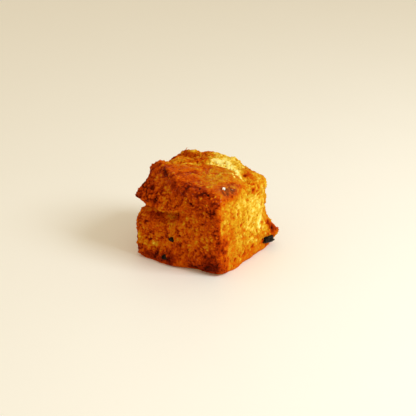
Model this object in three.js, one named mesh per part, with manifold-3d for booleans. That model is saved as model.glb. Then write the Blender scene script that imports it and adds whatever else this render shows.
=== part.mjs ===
// A scone cut square from thick dough. It split along its left side as it rose, so its upper layer
// juts out over the lower one. A torn crack crosses the glossy top crust, and three dried currants
// and a grain of sugar show at the surface.
//
// Millimetres, +Z up. The base lies on z = 0 with its middle at the origin. The browned front face
// looks along -Y, and the rough, torn right-hand face along +X.

import * as THREE from 'three';
import { ParametricGeometry } from 'three/addons/geometries/ParametricGeometry.js';
import { mergeVertices } from 'three/addons/utils/BufferGeometryUtils.js';
import Module from 'manifold-3d';

const manifoldLibrary = await Module();
manifoldLibrary.setup();

// ---- Driving dimensions: the block of dough --------------------------------------------------

const HALF_WIDTH = 28;        // along X
const HALF_DEPTH = 29;        // along Y
const BLOCK_HEIGHT = 49;      // before the crust's own relief
const PLAN_SQUARENESS = 13;   // 2 would be round, and higher is squarer
const FOOT_SQUARENESS = 16;
const CROWN_SQUARENESS = 8;
const MIDDLE = new THREE.Vector3(0, 0, 22);   // what the uneven surface swells away from
const BASE_CENTRE = new THREE.Vector3(0.6, -0.64, 0);
const SOLE_TRIM = 1.1;        // taken off underneath, so that the base ends in a crisp edge

// ---- The mouth: the sideways split between the two layers -------------------------------------
// bearing is in degrees round the scone from +X, height is that of the mouth's deepest line, and
// depth is how far the mouth goes in there.

const MOUTH = [
  { bearing: -180, height: 32.8, depth: 9 },
  { bearing: -165, height: 31, depth: 11 },
  { bearing: -150, height: 32.4, depth: 10 },
  { bearing: -137, height: 33.2, depth: 10 },
  { bearing: -130, height: 32.6, depth: 9.5 },
  { bearing: -122, height: 30, depth: 8 },
  { bearing: -108, height: 28.2, depth: 7 },
  { bearing: -96, height: 29.4, depth: 6 },
  { bearing: -84, height: 32, depth: 3 },
  { bearing: -60, height: 34, depth: 0 },
  { bearing: 0, height: 33, depth: 0 },
  { bearing: 75, height: 31, depth: 0 },
  { bearing: 105, height: 29.6, depth: 2.5 },
  { bearing: 130, height: 28.8, depth: 5 },
  { bearing: 150, height: 31, depth: 8 },
  { bearing: 165, height: 30.2, depth: 6.5 },
  { bearing: 180, height: 32.8, depth: 9 },
];
const MOUTH_LEVEL = 30;             // where the mouth's rows lie before they follow its line
const MOUTH_GATHER = 0.55;          // how closely rows are gathered at the mouth
const MOUTH_GATHER_REACH = 7;
const LIP_THICKNESS = { side: 1.9, front: 2.2 };   // how soon the mouth closes above its line
const JAW_THICKNESS = { side: 5.2, front: 3.2 };   // and below it

// ---- The apron: the upper layer's browned edge on the front face ------------------------------

const APRON = { proud: 1.6, hem: 30.2, hemFall: 0.08 };
const APRON_CLIMB = { x: -1.3, height: 30.8, slope: 0.76, easeX: 7.7, ease: 0.36 };
const APRON_WAVE = { height: 0.6, perMillimetre: 0.9 };

// ---- The top crust: plateau in front, torn crack, risen part behind ---------------------------

const PLATEAU = { height: 50.2, x: -26, fall: 0.03 };
const BASIN = { x: 4, y: -9, reachX: 12, reachY: 8, depth: 1.0 };
const CRACK = { x: 7, y: 4.4, bend: 0.027, wander: 0.7, wanderSize: 6 };   // it bends left of its x
const CRACK_DROP = { by: 4, fromX: 15.5, toX: 23 };   // towards the front, at its right end
const RISER = { run: 3.5, height: 2.4, fromX: -14, toX: -3 };
const RISER_EASING = { longerBy: 5, fromX: 5, toX: 16 };   // its run grows towards the right
const BACK_FALL = { fromY: 12, toY: 31, drop: 7 };
const BACK_CORNER_FALL = { lean: 0.75, from: 16, to: 50, drop: 11 };
const RIGHT_FALL = { fromX: 12, toX: 28, fromY: 14, toY: -4, drop: 1.2 };

// The shoulder is the plateau's front edge. It starts at the right-hand corner of the front face and
// curves back to the left. In front of it the crust is chamfered, more steeply towards the right.

const SHOULDER = { x: 25, y: -28.8, run: 51, curveBack: 21.8, power: 2.1 };
const CHAMFER = { height: 50.8, slope: 0.8, x: -26, steepening: 0.035, blend: 3 };
const BEAD = { height: 1.2, reach: 2.2, fromX: 4, toX: -8 };   // a rounded rim on its left half

// ---- Bulges and hollows: centre, reach along each axis, and push at the centre ----------------

const LUMPS = {
  lipTip: { at: [-27, -28, 34.6], reach: [6, 6, 2.6], push: [-1.7, -0.9, -0.6] },
  leftCorner: { at: [-27, -27, 16], reach: [8, 8, 10], push: [-0.2, -0.2, 0] },
  leftFoot: { at: [-24, -28, 0], reach: [8, 7, 5], push: [1.4, 0, 0] },
  leftHem: { at: [-20.5, -28.5, 0], reach: [5, 6, 3.5], push: [0, -1.8, 0] },
  frontFoot: { at: [-2.5, -29, 1], reach: [9, 6, 6], push: [0, -3.2, 0] },
  frontHem: { at: [11, -29, 0], reach: [11, 6, 5], push: [0, 0.8, 1.1] },
  cornerEdge: { at: [28, -29, 24], reach: [4, 4, 16], push: [0.7, -0.7, 0] },
  cornerFoot: { at: [29, -27, 0], reach: [9, 7, 6], push: [1.2, 0.6, 1.1] },
  cornerFootAtRight: { at: [30, -23, 0], reach: [4, 4, 3], push: [1.1, -0.4, 0] },
  rightFoot: { at: [30, 2, 0], reach: [6, 14, 5], push: [1.9, 0, 0] },
  rightFootInFront: { at: [29, -15, 0], reach: [5, 5, 4], push: [1.6, 0, 0] },
  footByCurrant: { at: [29, 19, 2], reach: [3, 5, 2.5], push: [1.2, 0, 0] },
  rightLip: { at: [28, 28, 8.6], reach: [7, 8, 3.8], push: [4, 2.8, 0] },
  rightWaist: { at: [29, 28, 24], reach: [9, 11, 12], push: [-4.1, -3, 0] },
  rightWaistBump: { at: [26, 22, 28.5], reach: [5, 6, 3], push: [1, 0.6, 0] },
  underWaist: { at: [27, 28, 15.5], reach: [5, 6, 4], push: [0.9, 0.5, 0] },
  rightShoulder: { at: [27, 27, 34], reach: [9, 10, 4], push: [-2, -1.3, 0] },
  firstLobe: { at: [-25, -10, 45], reach: [5, 5, 7], push: [-2.1, -0.6, 1.6] },
  firstSaddle: { at: [-25, -1, 49], reach: [5, 3.5, 6], push: [0.8, 0, -2] },
  secondLobe: { at: [-23, 4, 49], reach: [4, 3.5, 6], push: [-0.1, 0, 0.2] },
  secondSaddle: { at: [-22, 9.5, 50], reach: [6, 3, 7], push: [1, 0, -1.4] },
  thirdLobe: { at: [-18, 14, 50], reach: [6, 3.5, 6], push: [-0.4, -0.8, 1.6] },
  underThirdLobe: { at: [-16, 9, 49], reach: [6, 2.6, 5], push: [0, 0.6, -1.2] },
  ridgeBump: { at: [-10, 18, 50], reach: [6, 6, 6], push: [0, 0, 1] },
  ridgeCrumb: { at: [8.4, 16.5, 50.5], reach: [2.6, 2.5, 3], push: [0, 0, 1.4] },
  backCornerLobe: { at: [24, 22, 41], reach: [6, 7, 6], push: [2, 1.4, 2.4] },
  backCornerCrest: { at: [25.5, 18.5, 43], reach: [3.5, 5, 3.5], push: [0.2, 0, 0.8] },
  flakeUnderCurrant: { at: [29, 15, 1.8], reach: [2, 2.2, 1.5], push: [1.3, 0.5, 0] },
};

const CRAGS = [
  { size: 9, height: 0.8, seed: 1 },
  { size: 4, height: 0.5, seed: 2 },
];
const FLAT_FOOT = { from: 0.5, to: 6 };   // crags fade out over these heights, so the base is flat

// ---- How finely the surface is divided --------------------------------------------------------
// A profile runs from the middle of the base (0) over the foot (1), the mid-height of the side (2)
// and the crown's edge (3) to the middle of the crust (4).

const STEPS_AROUND = 100;
const STRETCHES = [
  { to: 0.93, rows: 3 },
  { to: 3.05, rows: 30 },
  { to: 4, rows: 14 },
];

// ---- Currants and sugar -----------------------------------------------------------------------

const CURRANTS = {
  currant_right: { at: [27.6, 20.9, 5], half: [2.2, 4.8, 2.3], tilt: -0.22, seed: 5 },
  currant_front_upper: { at: [-3.0, -28.3, 15.4], half: [1.4, 1.2, 1.1], tilt: 0.3, seed: 6 },
  currant_front_lower: { at: [-7.0, -29.5, 4.2], half: [1.6, 1.4, 1.4], tilt: -0.2, seed: 7 },
};
const CURRANT_STEPS = { around: 20, along: 14 };
const CURRANT_BLOCKINESS = { power: 4, size: 0.94 };   // a power of 2 would leave it a plain ball
const CURRANT_SWELLING = { size: 0.9, height: 0.24 };
const CURRANT_FOLDS = { size: 0.5, height: 0.32, stretch: 0.35, middle: 0.3 };   // run along the currant
const POCKET_GAP = 0.35;
const SUGAR_GRAIN = { at: [22.6, -16.8, 46.2], size: [1.5, 1.3, 2.2], turn: [0.4, 0.3, 0.6] };

// ---- Small helpers ----------------------------------------------------------------------------

/** Eased share from 0 to 1 of the way that value has gone between two limits, in either direction. */
function ramp(value, from, to) {
  const share = THREE.MathUtils.clamp((value - from) / (to - from), 0, 1);
  return share * share * (3 - 2 * share);
}

/** Bell curve: 1 at 0, and next to nothing past 2. */
function bell(distance) {
  return Math.exp(-distance * distance);
}

/** The lower of two heights, with the corner between them rounded over the blend. */
function softMinimum(first, second, blend) {
  const share = THREE.MathUtils.clamp(0.5 + (0.5 * (second - first)) / blend, 0, 1);
  return THREE.MathUtils.lerp(second, first, share) - blend * share * (1 - share);
}

/** Scattered value from 0 to 1 for a corner of the noise lattice. */
function lattice(i, j, k, seed) {
  const scattered = Math.sin(i * 127.1 + j * 311.7 + k * 74.7 + seed * 53.3) * 43758.5453;
  return scattered - Math.floor(scattered);
}

/** Smooth noise from -1 to 1, whose lumps are about size millimetres across. */
function noise(x, y, z, size, seed) {
  const place = [x, y, z].map((value) => value / size + 100 + 17.3 * seed);
  const cell = place.map(Math.floor);
  const share = place.map((value, axis) => {
    const part = value - cell[axis];
    return part * part * part * (part * (part * 6 - 15) + 10);
  });
  let total = 0;
  for (let corner = 0; corner < 8; corner += 1) {
    const step = [corner & 1, (corner >> 1) & 1, (corner >> 2) & 1];
    const weight = step.reduce((product, up, axis) => product * (up ? share[axis] : 1 - share[axis]), 1);
    total += weight * lattice(cell[0] + step[0], cell[1] + step[1], cell[2] + step[2], seed);
  }
  return 2 * total - 1;
}

/** One coordinate of a walk round a square: clipped triangle wave of period 4. */
function squareWalk(turn) {
  const wrapped = ((turn % 4) + 4) % 4;
  return THREE.MathUtils.clamp(2 * (Math.abs(wrapped - 2) - 1), -1, 1);
}

/** Moves a point of a square onto the rounded square |x|^power + |y|^power = 1. */
function roundedSquare(x, y, power) {
  const reach = (Math.abs(x) ** power + Math.abs(y) ** power) ** (1 / power);
  return [x / reach, y / reach];
}

// ---- The scone's surface ----------------------------------------------------------------------

/** Place along the profile, 0 to 4, for the share of rows that lie below it. */
function profilePlace(share) {
  const total = STRETCHES.reduce((sum, stretch) => sum + stretch.rows, 0);
  let row = share * total;
  let from = 0;
  for (const stretch of STRETCHES) {
    if (row <= stretch.rows) return from + ((stretch.to - from) * row) / stretch.rows;
    row -= stretch.rows;
    from = stretch.to;
  }
  return from;
}

/** Height and depth of the mouth at a bearing, eased between the stated bearings. */
function mouthAt(bearing) {
  const next = Math.max(1, MOUTH.findIndex((stop) => stop.bearing >= bearing));
  const before = MOUTH[next - 1];
  const after = MOUTH[next];
  const share = ramp(bearing, before.bearing, after.bearing);
  return {
    height: THREE.MathUtils.lerp(before.height, after.height, share),
    depth: THREE.MathUtils.lerp(before.depth, after.depth, share),
  };
}

/** Distance in front of the shoulder's curve, of a place in the plan. */
function beforeShoulder(x, y) {
  const way = THREE.MathUtils.clamp((SHOULDER.x - x) / SHOULDER.run, 0, 1.1);
  const shoulderY = SHOULDER.y + SHOULDER.curveBack * way ** SHOULDER.power;
  const slope = ((SHOULDER.curveBack * SHOULDER.power) / SHOULDER.run) * way ** (SHOULDER.power - 1);
  return (shoulderY - y) / Math.hypot(1, slope);
}

/** Height of the top crust over a place in the plan. */
function crustHeight(x, y) {
  const plateau = PLATEAU.height - PLATEAU.fall * (x - PLATEAU.x);
  const basin = BASIN.depth * bell(Math.hypot((x - BASIN.x) / BASIN.reachX, (y - BASIN.y) / BASIN.reachY));
  const wander = CRACK.wander * noise(x, 0, 0, CRACK.wanderSize, 3);
  const bend = CRACK.bend * Math.min(x - CRACK.x, 0) ** 2;
  const drop = CRACK_DROP.by * ramp(x, CRACK_DROP.fromX, CRACK_DROP.toX);
  const pastCrack = y - (CRACK.y - bend - drop + wander);
  const run = RISER.run + RISER_EASING.longerBy * ramp(x, RISER_EASING.fromX, RISER_EASING.toX);
  const riser = RISER.height * ramp(pastCrack, 0, run) * ramp(x, RISER.fromX, RISER.toX);
  const backFall = BACK_FALL.drop * ramp(y, BACK_FALL.fromY, BACK_FALL.toY);
  const towardsCorner = x + BACK_CORNER_FALL.lean * y;
  const cornerFall = BACK_CORNER_FALL.drop * ramp(towardsCorner, BACK_CORNER_FALL.from, BACK_CORNER_FALL.to);
  const rightFall = RIGHT_FALL.drop
    * ramp(x, RIGHT_FALL.fromX, RIGHT_FALL.toX)
    * ramp(y, RIGHT_FALL.fromY, RIGHT_FALL.toY);
  const crust = plateau - basin + riser - backFall - cornerFall - rightFall;
  const before = beforeShoulder(x, y);
  const steepness = CHAMFER.slope + CHAMFER.steepening * Math.max(x - CHAMFER.x, 0);
  const bead = BEAD.height * bell(before / BEAD.reach) * ramp(x, BEAD.fromX, BEAD.toX);
  return softMinimum(crust, CHAMFER.height - steepness * before, CHAMFER.blend) + bead;
}

/** Share of a place on the front face that belongs to the apron. */
function apronShare(x, z) {
  const eased = APRON_CLIMB.ease * Math.max(x - APRON_CLIMB.easeX, 0);
  const climbing = APRON_CLIMB.height + APRON_CLIMB.slope * (x - APRON_CLIMB.x) - eased;
  const hem = APRON.hem - APRON.hemFall * x;
  const edge = Math.max(climbing, hem) + APRON_WAVE.height * Math.sin(x * APRON_WAVE.perMillimetre);
  return ramp(z, edge - 0.5, edge + 1.1) * ramp(x, -24, -14) * ramp(x, 24, 19);
}

/** Point of the plain block: a rounded square in plan and in profile. */
function blockPoint(aroundShare, alongShare) {
  const walk = 4 * aroundShare - 1.5;
  const [planX, planY] = roundedSquare(squareWalk(walk), squareWalk(walk - 1), PLAN_SQUARENESS);
  const along = profilePlace(alongShare);
  const squareReach = THREE.MathUtils.clamp(along < 2 ? along : 4 - along, 0, 1);
  const squareLevel = THREE.MathUtils.clamp(along - 2, -1, 1);
  const squareness = squareLevel < 0 ? FOOT_SQUARENESS : CROWN_SQUARENESS;
  const [reach, level] = roundedSquare(squareReach, squareLevel, squareness);
  const bearing = reach > 0 ? Math.atan2(planY * HALF_DEPTH, planX * HALF_WIDTH) : 0;
  const point = new THREE.Vector3(
    HALF_WIDTH * reach * planX,
    HALF_DEPTH * reach * planY,
    (BLOCK_HEIGHT / 2) * (1 + level),
  );
  return { point, reach, bearing: THREE.MathUtils.radToDeg(bearing) };
}

/** Moves rows to the mouth's line, lifts what is above it to the crust, and draws the mouth in. */
function openMouth(point, side, mouth) {
  const above = point.z - MOUTH_LEVEL;
  const span = above < 0 ? MOUTH_LEVEL : BLOCK_HEIGHT - MOUTH_LEVEL;
  const nearness = THREE.MathUtils.clamp(1 - Math.abs(above) / span, 0, 1);
  point.z -= MOUTH_GATHER * above * bell(above / MOUTH_GATHER_REACH) * side;
  point.z += (mouth.height - MOUTH_LEVEL) * nearness * side;

  if (point.z > mouth.height) {
    const share = (point.z - mouth.height) / (BLOCK_HEIGHT - mouth.height);
    point.z = THREE.MathUtils.lerp(mouth.height, crustHeight(point.x, point.y), share);
  }

  const front = ramp(point.x, -24, -14) * ramp(point.y, -15, -25);
  const thickness = point.z > mouth.height ? LIP_THICKNESS : JAW_THICKNESS;
  const closing = THREE.MathUtils.lerp(thickness.side, thickness.front, front);
  const drawIn = mouth.depth * bell((point.z - mouth.height) / closing) * side;
  const radius = Math.hypot(point.x, point.y) || 1;
  const kept = 1 - THREE.MathUtils.clamp(drawIn / radius, 0, 0.8);
  point.x *= kept;
  point.y *= kept;
}

/** Sum of what every lump pushes a place by. */
function lumpPush(place) {
  const push = new THREE.Vector3();
  for (const lump of Object.values(LUMPS)) {
    const away = place.toArray().map((value, axis) => (value - lump.at[axis]) / lump.reach[axis]);
    push.addScaledVector(new THREE.Vector3(...lump.push), bell(Math.hypot(...away)));
  }
  return push;
}

/** What the crags push a place by: in or out from the scone's middle. */
function cragPush(place) {
  const outward = place.clone().sub(MIDDLE).normalize();
  outward.z *= ramp(place.z, FLAT_FOOT.from, FLAT_FOOT.to);
  const height = CRAGS.reduce(
    (sum, crag) => sum + crag.height * noise(place.x, place.y, place.z, crag.size, crag.seed),
    0,
  );
  return outward.multiplyScalar(height);
}

/** Point of the scone's surface, for shares of the way round it and along its profile. */
function sconePoint(aroundShare, alongShare, target) {
  const { point, reach, bearing } = blockPoint(aroundShare, alongShare);
  const side = ramp(reach, 0.6, 0.95);
  openMouth(point, side, mouthAt(bearing));
  const place = point.clone();
  point.add(lumpPush(place));
  point.y -= APRON.proud * apronShare(place.x, place.z) * ramp(place.y, -20, -26) * side;
  point.add(cragPush(place));
  point.z = Math.max(point.z - SOLE_TRIM, 0);
  target.copy(point).sub(BASE_CENTRE);
}

/** The scone's outer skin as one closed geometry. */
function sconeSkin() {
  const rows = STRETCHES.reduce((sum, stretch) => sum + stretch.rows, 0);
  return new ParametricGeometry(sconePoint, STEPS_AROUND, rows);
}

// ---- Currants and the sugar grain -------------------------------------------------------------

/** How far from its middle a currant's skin lies in a direction, for a currant of unit size. */
function currantReach({ x, y, z }, seed) {
  const { power, size } = CURRANT_BLOCKINESS;
  const reach = size / (Math.abs(x) ** power + Math.abs(y) ** power + Math.abs(z) ** power) ** (1 / power);
  const [blockX, blockY, blockZ] = [x * reach, y * reach, z * reach];
  const swelling = CURRANT_SWELLING.height * noise(blockX, blockY, blockZ, CURRANT_SWELLING.size, seed);
  const fold = Math.abs(noise(blockX, blockY * CURRANT_FOLDS.stretch, blockZ, CURRANT_FOLDS.size, seed));
  return reach * (1 + swelling + CURRANT_FOLDS.height * (fold - CURRANT_FOLDS.middle));
}

/** A wrinkled dried currant, or with a gap, the pocket that it sits in. */
function currantGeometry({ at, half, tilt, seed }, gap = 0) {
  const geometry = new THREE.SphereGeometry(1, CURRANT_STEPS.around, CURRANT_STEPS.along);
  const corners = geometry.getAttribute('position');
  const corner = new THREE.Vector3();
  for (let index = 0; index < corners.count; index += 1) {
    corner.fromBufferAttribute(corners, index);
    corner.multiplyScalar(currantReach(corner, seed));
    corner.multiply(new THREE.Vector3(...half.map((value) => value + gap)));
    corners.setXYZ(index, corner.x, corner.y, corner.z);
  }
  geometry.rotateX(tilt);
  geometry.translate(...at);
  return geometry;
}

/** A blocky grain of sugar, half sunk in the crust. */
function sugarGrainGeometry() {
  const { size, turn, at } = SUGAR_GRAIN;
  const geometry = new THREE.BoxGeometry(...size);
  geometry.rotateX(turn[0]);
  geometry.rotateY(turn[1]);
  geometry.rotateZ(turn[2]);
  geometry.translate(...at);
  return geometry;
}

// ---- Joining and cutting ----------------------------------------------------------------------

/** A closed geometry as a solid that can be joined and cut. */
function toSolid(geometry) {
  const bare = geometry.clone();
  bare.deleteAttribute('normal');
  bare.deleteAttribute('uv');
  const merged = mergeVertices(bare);
  const mesh = new manifoldLibrary.Mesh({
    numProp: 3,
    vertProperties: new Float32Array(merged.getAttribute('position').array),
    triVerts: new Uint32Array(merged.getIndex().array),
  });
  return new manifoldLibrary.Manifold(mesh);
}

/** A solid as a geometry to draw. */
function toGeometry(solid) {
  const { vertProperties, triVerts } = solid.getMesh();
  const geometry = new THREE.BufferGeometry();
  geometry.setAttribute('position', new THREE.BufferAttribute(vertProperties, 3));
  geometry.setIndex(new THREE.BufferAttribute(triVerts, 1));
  geometry.computeVertexNormals();
  return geometry;
}

/** The scone with its sugar grain joined on and a pocket cut for each currant. */
function sconeGeometry() {
  let solid = toSolid(sconeSkin()).add(toSolid(sugarGrainGeometry()));
  for (const currant of Object.values(CURRANTS)) {
    solid = solid.subtract(toSolid(currantGeometry(currant, POCKET_GAP)));
  }
  return toGeometry(solid);
}

// ---- Materials --------------------------------------------------------------------------------

/** Baked dough, golden brown all over. */
function bakedDoughMaterial() {
  return new THREE.MeshStandardMaterial({ color: 0xc8761d, roughness: 0.75, metalness: 0 });
}

/** Dark, wrinkled dried fruit. */
function currantMaterial() {
  return new THREE.MeshStandardMaterial({ color: 0x1d120d, roughness: 0.5, metalness: 0 });
}

/** Named mesh. */
function piece(name, geometry, material) {
  const mesh = new THREE.Mesh(geometry, material);
  mesh.name = name;
  return mesh;
}

// ---- The scone --------------------------------------------------------------------------------

const model = new THREE.Group();
model.add(piece('scone', sconeGeometry(), bakedDoughMaterial()));
for (const [name, currant] of Object.entries(CURRANTS)) {
  model.add(piece(name, toGeometry(toSolid(currantGeometry(currant))), currantMaterial()));
}

export default model;
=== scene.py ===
"""Finish of a square-cut scone: its crags, torn crumb, glaze and browning, its currants and sugar.

Sizes and places are in millimetres until a mesh is made. The browned front face looks along -Y and
the rough golden face along +X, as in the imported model.
"""

import bpy
import numpy as np
from mathutils import Matrix, Vector


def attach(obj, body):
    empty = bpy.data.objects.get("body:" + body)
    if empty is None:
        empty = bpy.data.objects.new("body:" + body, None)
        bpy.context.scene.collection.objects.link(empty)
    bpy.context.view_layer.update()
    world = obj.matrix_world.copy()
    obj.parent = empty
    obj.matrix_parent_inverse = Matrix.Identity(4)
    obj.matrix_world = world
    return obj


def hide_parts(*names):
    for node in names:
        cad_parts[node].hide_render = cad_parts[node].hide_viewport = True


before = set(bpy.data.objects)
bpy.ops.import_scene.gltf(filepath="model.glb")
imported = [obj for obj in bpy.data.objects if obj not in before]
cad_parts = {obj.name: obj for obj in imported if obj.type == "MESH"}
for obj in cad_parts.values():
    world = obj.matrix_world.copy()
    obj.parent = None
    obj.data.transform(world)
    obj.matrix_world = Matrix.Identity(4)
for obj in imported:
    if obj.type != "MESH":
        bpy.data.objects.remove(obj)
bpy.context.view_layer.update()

MILLIMETRE = 0.001

# ---- Camera --------------------------------------------------------------------------------------

VIEW_AZIMUTH = np.radians(34)
VIEW_ELEVATION = np.radians(23)
VIEW_DISTANCE = 649
VIEW_AIM = (1.26, 22.47)        # right of and above the middle of the base, across the view
LENS = 100.32
SENSOR = 36


def view_axes():
    """Unit vectors to the right, up and back towards the eye, from azimuth and elevation."""
    a, e = VIEW_AZIMUTH, VIEW_ELEVATION
    back = np.array([np.sin(a) * np.cos(e), -np.cos(a) * np.cos(e), np.sin(e)])
    right = np.array([np.cos(a), np.sin(a), 0])
    return right, np.cross(back, right), back


def make_camera():
    """Long lens at the eye point, turned so that it looks straight back along the view."""
    right, up, back = view_axes()
    eye = back * VIEW_DISTANCE + right * VIEW_AIM[0] + up * VIEW_AIM[1]
    data = bpy.data.cameras.new("camera")
    data.lens = LENS
    data.sensor_width = SENSOR
    data.clip_start = 0.02
    data.clip_end = 20
    camera = bpy.data.objects.new("camera", data)
    bpy.context.scene.collection.objects.link(camera)
    turn = Matrix([right, up, back]).transposed().to_4x4()
    camera.matrix_world = Matrix.Translation(Vector(eye * MILLIMETRE)) @ turn
    bpy.context.scene.camera = camera


make_camera()

# ---- Shapes of curves and noise ------------------------------------------------------------------


def ramp(value, start, end):
    """Eased share from 0 to 1 of the way from start to end: 3t^2 - 2t^3 of the clipped share t."""
    share = np.clip((value - start) / (end - start), 0, 1)
    return share * share * (3 - 2 * share)


def bell(distance):
    """Bell curve exp(-distance^2): 1 at 0 and next to nothing past 2."""
    return np.exp(-distance * distance)


def soft_minimum(first, second, blend):
    """The lower of two heights, with the corner between them rounded over the blend."""
    share = np.clip(0.5 + 0.5 * (second - first) / blend, 0, 1)
    return second * (1 - share) + first * share - blend * share * (1 - share)


def scattered(i, j, k, seed):
    """Value from 0 to 1 for a lattice corner: the fraction of a large multiple of a sine."""
    wave = np.sin(i * 127.1 + j * 311.7 + k * 74.7 + seed * 53.3) * 43758.5453
    return wave - np.floor(wave)


def noise(place, size, seed):
    """Smooth noise from -1 to 1: lattice values size apart, blended by the quintic fade. The seed only
    tells one field of noise from another."""
    spot = place / size + 100 + 17.3 * seed
    cell = np.floor(spot)
    part = spot - cell
    part = part * part * part * (part * (part * 6 - 15) + 10)
    total = 0
    for step in np.ndindex(2, 2, 2):
        weight = np.prod(np.where(step, part, 1 - part), axis=-1)
        corner = cell + step
        total = total + weight * scattered(corner[..., 0], corner[..., 1], corner[..., 2], seed)
    return 2 * total - 1


def cells(place, size, seed):
    """Distance, in cell sizes, to the nearest of points scattered one a cell."""
    spot = place / size + 50 + 9.7 * seed
    cell = np.floor(spot)
    nearest = np.full(place.shape[:-1], np.inf)
    for step in np.ndindex(3, 3, 3):
        corner = cell + step - 1
        i, j, k = corner[..., 0], corner[..., 1], corner[..., 2]
        point = corner + np.stack([scattered(i, j, k, seed + axis) for axis in range(3)], -1)
        nearest = np.minimum(nearest, np.linalg.norm(point - spot, axis=-1))
    return nearest


# ---- Form of the scone: the same formulas and sizes as its solid -----------------------------------

HALF_WIDTH, HALF_DEPTH, BLOCK_HEIGHT = 28, 29, 49
PLAN_SQUARENESS, FOOT_SQUARENESS, CROWN_SQUARENESS = 13, 16, 8
MIDDLE = np.array([0, 0, 22])
BASE_CENTRE = np.array([0.6, -0.64, 1.1])

# Round the scone, bearings in degrees from +X: height of the mouth's line, and how deep it goes.
MOUTH_BEARING = [-180, -165, -150, -137, -130, -122, -108, -96, -84, -60, 0, 75, 105, 130, 150, 165, 180]
MOUTH_HEIGHT = [32.8, 31, 32.4, 33.2, 32.6, 30, 28.2, 29.4, 32, 34, 33, 31, 29.6, 28.8, 31, 30.2, 32.8]
MOUTH_DEPTH = [9, 11, 10, 10, 9.5, 8, 7, 6, 3, 0, 0, 0, 2.5, 5, 8, 6.5, 9]
MOUTH_LEVEL = 30
MOUTH_GATHER, MOUTH_GATHER_REACH = 0.55, 7
LIP_SIDE, LIP_FRONT = 1.9, 2.2
JAW_SIDE, JAW_FRONT = 5.2, 3.2

# A pair of places says where a change starts and where it is complete.
FRONT_OF_MOUTH = {"x": (-24, -14), "y": (-15, -25)}   # where the front's lip and jaw take over
APRON = {"proud": 1.6, "hem": 30.2, "hem fall": 0.08, "left": (-24, -14), "right": (24, 19), "y": (-20, -26)}
APRON_CLIMB = {"x": -1.3, "height": 30.8, "slope": 0.76, "ease from": 7.7, "ease": 0.36}
APRON_WAVE = {"height": 0.6, "per millimetre": 0.9}
APRON_EDGE = (-0.5, 1.1)        # about the hem

PLATEAU = {"height": 50.2, "x": -26, "fall": 0.03}
BASIN = {"x": 4, "y": -9, "reach": (12, 8), "depth": 1}
CRACK = {"x": 7, "y": 4.4, "bend": 0.027, "wander": 0.7, "wander size": 6, "seed": 3}
CRACK_DROP = {"by": 4, "x": (15.5, 23)}           # towards the front, at its right end
RISER = {"height": 2.4, "run": 3.5, "x": (-14, -3)}
RISER_EASING = {"longer by": 5, "x": (5, 16)}     # its run grows towards the right
BACK_FALL = {"drop": 7, "y": (12, 31)}
BACK_CORNER_FALL = {"drop": 11, "lean": 0.75, "way": (16, 50)}
RIGHT_FALL = {"drop": 1.2, "x": (12, 28), "y": (14, -4)}
SHOULDER = {"x": 25, "y": -28.8, "run": 51, "curve back": 21.8, "power": 2.1, "slope": 0.9}
CHAMFER = {"height": 50.8, "slope": 0.8, "x": -26, "steepening": 0.035, "blend": 3}
BEAD = {"height": 1.2, "reach": 2.2, "x": (4, -8)}
CRAGS = [(9, 0.8, 1), (4, 0.5, 2)]                # size across, height and seed
FLAT_FOOT = (0.5, 6)            # heights over which the crags start

LUMPS = {   # centre, reach along each axis, push at the centre
    "lip tip": ((-27, -28, 34.6), (6, 6, 2.6), (-1.7, -0.9, -0.6)),
    "left corner": ((-27, -27, 16), (8, 8, 10), (-0.2, -0.2, 0)),
    "left foot": ((-24, -28, 0), (8, 7, 5), (1.4, 0, 0)),
    "left hem": ((-20.5, -28.5, 0), (5, 6, 3.5), (0, -1.8, 0)),
    "front foot": ((-2.5, -29, 1), (9, 6, 6), (0, -3.2, 0)),
    "front hem": ((11, -29, 0), (11, 6, 5), (0, 0.8, 1.1)),
    "corner edge": ((28, -29, 24), (4, 4, 16), (0.7, -0.7, 0)),
    "corner foot": ((29, -27, 0), (9, 7, 6), (1.2, 0.6, 1.1)),
    "corner foot, right": ((30, -23, 0), (4, 4, 3), (1.1, -0.4, 0)),
    "right foot": ((30, 2, 0), (6, 14, 5), (1.9, 0, 0)),
    "right foot, front": ((29, -15, 0), (5, 5, 4), (1.6, 0, 0)),
    "foot by the currant": ((29, 19, 2), (3, 5, 2.5), (1.2, 0, 0)),
    "right lip": ((28, 28, 8.6), (7, 8, 3.8), (4, 2.8, 0)),
    "right waist": ((29, 28, 24), (9, 11, 12), (-4.1, -3, 0)),
    "right waist bump": ((26, 22, 28.5), (5, 6, 3), (1, 0.6, 0)),
    "under the waist": ((27, 28, 15.5), (5, 6, 4), (0.9, 0.5, 0)),
    "right shoulder": ((27, 27, 34), (9, 10, 4), (-2, -1.3, 0)),
    "first lobe": ((-25, -10, 45), (5, 5, 7), (-2.1, -0.6, 1.6)),
    "first saddle": ((-25, -1, 49), (5, 3.5, 6), (0.8, 0, -2)),
    "second lobe": ((-23, 4, 49), (4, 3.5, 6), (-0.1, 0, 0.2)),
    "second saddle": ((-22, 9.5, 50), (6, 3, 7), (1, 0, -1.4)),
    "third lobe": ((-18, 14, 50), (6, 3.5, 6), (-0.4, -0.8, 1.6)),
    "under the third lobe": ((-16, 9, 49), (6, 2.6, 5), (0, 0.6, -1.2)),
    "ridge bump": ((-10, 18, 50), (6, 6, 6), (0, 0, 1)),
    "ridge crumb": ((8.4, 16.5, 50.5), (2.6, 2.5, 3), (0, 0, 1.4)),
    "back corner lobe": ((24, 22, 41), (6, 7, 6), (2, 1.4, 2.4)),
    "back corner crest": ((25.5, 18.5, 43), (3.5, 5, 3.5), (0.2, 0, 0.8)),
    "flake under the currant": ((29, 15, 1.8), (2, 2.2, 1.5), (1.3, 0.5, 0)),
}


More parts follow.
